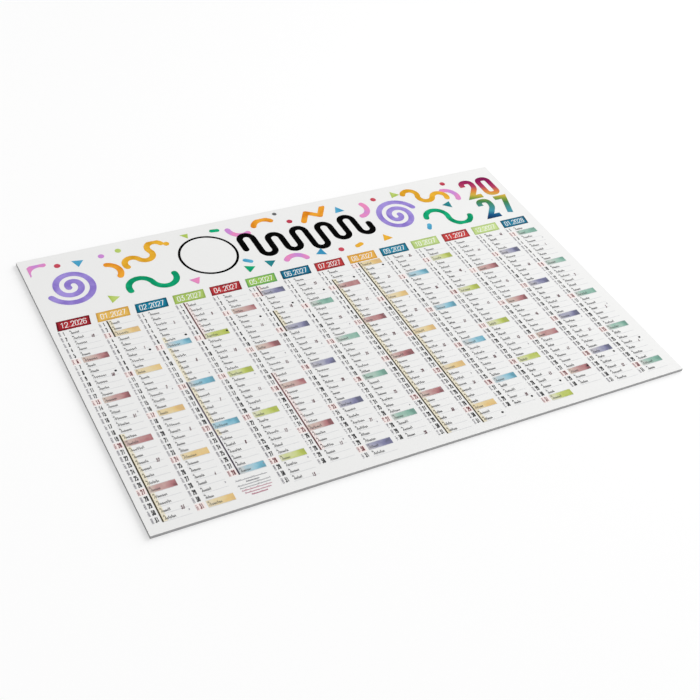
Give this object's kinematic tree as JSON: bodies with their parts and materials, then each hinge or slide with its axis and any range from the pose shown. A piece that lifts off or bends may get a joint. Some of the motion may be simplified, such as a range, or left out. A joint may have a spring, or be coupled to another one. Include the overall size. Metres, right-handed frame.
{
  "type": "wall calendar",
  "caption": "Flat rigid card calendar with a colourful printed header over a table of months, and a punched hole near its top edge to hang it by.",
  "frame": {"origin": "middle of the card's plain back, on the surface that it lies on", "axes": "+X to the right across the page, +Y up the page towards the hanging hole, +Z out of the printed face"},
  "size_m": [0.65, 0.43, 0.0041],
  "materials": {
    "card": "grey board faced with smooth white paper",
    "black_ink": "deep black offset ink, satin",
    "red_ink": "carmine offset ink, satin",
    "amber_ink": "amber offset ink, satin",
    "orange_ink": "orange offset ink, satin",
    "lime_ink": "lime offset ink, satin",
    "green_ink": "green offset ink, satin",
    "blue_ink": "teal-blue offset ink, satin",
    "navy_ink": "navy offset ink, satin",
    "violet_ink": "violet offset ink, satin",
    "pink_ink": "pink offset ink, satin"
  },
  "bodies": {
    "root": {"board": "card", "black_print": "black_ink", "red_print": "red_ink", "amber_print": "amber_ink", "orange_print": "orange_ink", "lime_print": "lime_ink", "green_print": "green_ink", "blue_print": "blue_ink", "navy_print": "navy_ink", "violet_print": "violet_ink", "pink_print": "pink_ink"}
  },
  "joints": []
}
